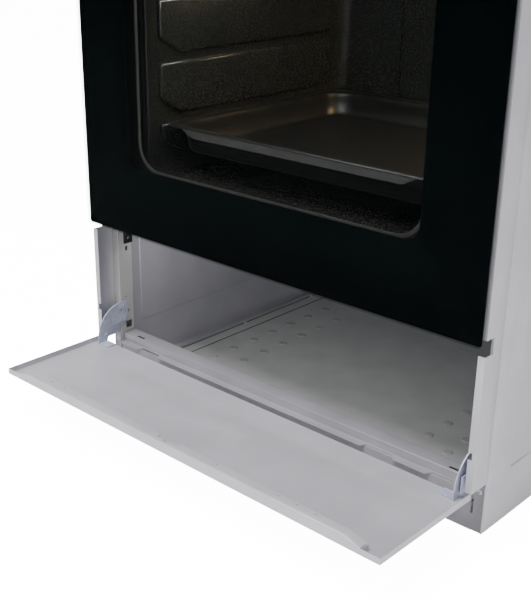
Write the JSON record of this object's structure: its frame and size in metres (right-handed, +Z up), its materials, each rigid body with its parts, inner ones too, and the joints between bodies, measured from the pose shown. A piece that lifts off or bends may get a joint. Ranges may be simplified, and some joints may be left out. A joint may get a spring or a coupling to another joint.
{
  "type": "freestanding gas range",
  "caption": "Silver freestanding gas range: hob with pan supports and caps, knob panel, black glass oven door, and an open storage compartment with a drop-down flap.",
  "frame": {"origin": "on the floor, under the middle of the range's overall box with its storage flap down", "axes": "+X to the right of someone facing the front, +Y to the back, +Z up"},
  "size_m": [0.6004, 0.7378, 0.8826],
  "materials": {
    "silver_paint": "satin silver-grey powder coat",
    "galvanised": "bright zinc-plated sheet steel",
    "black_glass": "gloss black tempered glass with a tinted window",
    "clear_glass": "clear tempered glass",
    "enamel": "gloss black vitreous enamel",
    "grate_enamel": "matt black vitreous enamel",
    "rubber": "matt black heat-proof gasket and foot rubber",
    "black_steel": "black heat-proof coating",
    "chrome": "bright chrome plating",
    "aluminium": "brushed",
    "brass": "machined",
    "knob_plastic": "satin dark grey",
    "lamp_glass": "clear heat-proof glass"
  },
  "bodies": {
    "case": {"side_panel_left": "silver_paint", "corner_post_left": "silver_paint", "flap_pivot_bracket_left": "galvanised", "hinge_claw_left": "black_steel", "side_panel_right": "silver_paint", "corner_post_right": "silver_paint", "flap_pivot_bracket_right": "galvanised", "hinge_claw_right": "black_steel", "rear_panel": "galvanised", "storage_ceiling": "galvanised", "storage_floor": "silver_paint", "plinth_panel": "silver_paint", "front_rail": "silver_paint", "control_panel": "silver_paint", "hob_top": "silver_paint", "oven_cavity": "enamel", "oven_front_frame": "enamel", "oven_floor_plate": "enamel", "baking_tray": "enamel", "door_seal": "rubber", "oven_burner": "aluminium", "grill_burner": "black_steel", "oven_lamp": "lamp_glass", "wire_rack": "chrome", "gas_manifold": "brass", "burner_head_1": "aluminium", "burner_cap_1": "grate_enamel", "burner_head_2": "aluminium", "burner_cap_2": "grate_enamel", "burner_head_3": "aluminium", "burner_cap_3": "grate_enamel", "burner_head_4": "aluminium", "burner_cap_4": "grate_enamel"},
    "oven_door": {"door_outer_glass": "black_glass", "door_inner_glass": "clear_glass", "door_inner_frame": "black_steel", "door_top_trim": "black_steel", "door_handle": "aluminium", "door_side_channel_left": "galvanised", "door_side_channel_right": "galvanised"},
    "storage_flap": {"flap_panel": "silver_paint", "flap_hinge_arm_left": "galvanised", "flap_hinge_arm_right": "galvanised"},
    "stem_1": {"tap_stem_1": "brass"},
    "dial_1": {"knob_1": "knob_plastic"},
    "stem_2": {"tap_stem_2": "brass"},
    "dial_2": {"knob_2": "knob_plastic"},
    "stem_3": {"tap_stem_3": "brass"},
    "dial_3": {"knob_3": "knob_plastic"},
    "stem_4": {"tap_stem_4": "brass"},
    "dial_4": {"knob_4": "knob_plastic"},
    "stem_5": {"tap_stem_5": "brass"},
    "dial_5": {"knob_5": "knob_plastic"},
    "light_button": {"lamp_button": "knob_plastic"},
    "grate_left": {"pan_grate_left": "grate_enamel"},
    "levelling_foot_front_left": {"foot_front_left": "rubber"},
    "levelling_foot_rear_left": {"foot_rear_left": "rubber"},
    "grate_right": {"pan_grate_right": "grate_enamel"},
    "levelling_foot_front_right": {"foot_front_right": "rubber"},
    "levelling_foot_rear_right": {"foot_rear_right": "rubber"}
  },
  "joints": [
    {"name": "door_hinge", "type": "hinge", "parent": "case", "child": "oven_door", "pos_m": [0, -0.21015, 0.243], "axis": [1, 0, 0], "range_deg": [0, 90], "stiffness_Nm_per_rad": 5, "springref_deg": -28.65},
    {"name": "flap_hinge", "type": "hinge", "parent": "case", "child": "storage_flap", "pos_m": [0, -0.21455, 0.068], "axis": [-1, 0, 0], "range_deg": [0, 90]},
    {"name": "knob_push_1", "type": "slide", "parent": "case", "child": "stem_1", "axis": [0, 1, 0], "range_m": [0, 0.003], "stiffness_N_per_m": 1000},
    {"name": "knob_turn_1", "type": "hinge", "parent": "stem_1", "child": "dial_1", "pos_m": [-0.184, -0.22985, 0.76795], "axis": [0, -1, 0], "range_deg": [0, 210]},
    {"name": "knob_push_2", "type": "slide", "parent": "case", "child": "stem_2", "axis": [0, 1, 0], "range_m": [0, 0.003], "stiffness_N_per_m": 1000},
    {"name": "knob_turn_2", "type": "hinge", "parent": "stem_2", "child": "dial_2", "pos_m": [-0.092, -0.22985, 0.76795], "axis": [0, -1, 0], "range_deg": [0, 210]},
    {"name": "knob_push_3", "type": "slide", "parent": "case", "child": "stem_3", "axis": [0, 1, 0], "range_m": [0, 0.003], "stiffness_N_per_m": 1000},
    {"name": "knob_turn_3", "type": "hinge", "parent": "stem_3", "child": "dial_3", "pos_m": [0, -0.22985, 0.76795], "axis": [0, -1, 0], "range_deg": [-90, 240]},
    {"name": "knob_push_4", "type": "slide", "parent": "case", "child": "stem_4", "axis": [0, 1, 0], "range_m": [0, 0.003], "stiffness_N_per_m": 1000},
    {"name": "knob_turn_4", "type": "hinge", "parent": "stem_4", "child": "dial_4", "pos_m": [0.092, -0.22985, 0.76795], "axis": [0, -1, 0], "range_deg": [0, 210]},
    {"name": "knob_push_5", "type": "slide", "parent": "case", "child": "stem_5", "axis": [0, 1, 0], "range_m": [0, 0.003], "stiffness_N_per_m": 1000},
    {"name": "knob_turn_5", "type": "hinge", "parent": "stem_5", "child": "dial_5", "pos_m": [0.184, -0.22985, 0.76795], "axis": [0, -1, 0], "range_deg": [0, 210]},
    {"name": "light_button_push", "type": "slide", "parent": "case", "child": "light_button", "axis": [0, 1, 0], "range_m": [0, 0.002], "stiffness_N_per_m": 500},
    {"name": "grate_lift_left", "type": "slide", "parent": "case", "child": "grate_left", "axis": [0, 0, 1], "range_m": [0, 0.1]},
    {"name": "grate_lift_right", "type": "slide", "parent": "case", "child": "grate_right", "axis": [0, 0, 1], "range_m": [0, 0.1]},
    {"name": "foot_turn_front_left", "type": "hinge", "parent": "case", "child": "levelling_foot_front_left", "pos_m": [-0.29025, -0.13615, 0], "axis": [0, 0, 1], "continuous": true},
    {"name": "foot_turn_rear_left", "type": "hinge", "parent": "case", "child": "levelling_foot_rear_left", "pos_m": [-0.29025, 0.30885, 0], "axis": [0, 0, 1], "continuous": true},
    {"name": "foot_turn_front_right", "type": "hinge", "parent": "case", "child": "levelling_foot_front_right", "pos_m": [0.29025, -0.13615, 0], "axis": [0, 0, 1], "continuous": true},
    {"name": "foot_turn_rear_right", "type": "hinge", "parent": "case", "child": "levelling_foot_rear_right", "pos_m": [0.29025, 0.30885, 0], "axis": [0, 0, 1], "continuous": true}
  ]
}
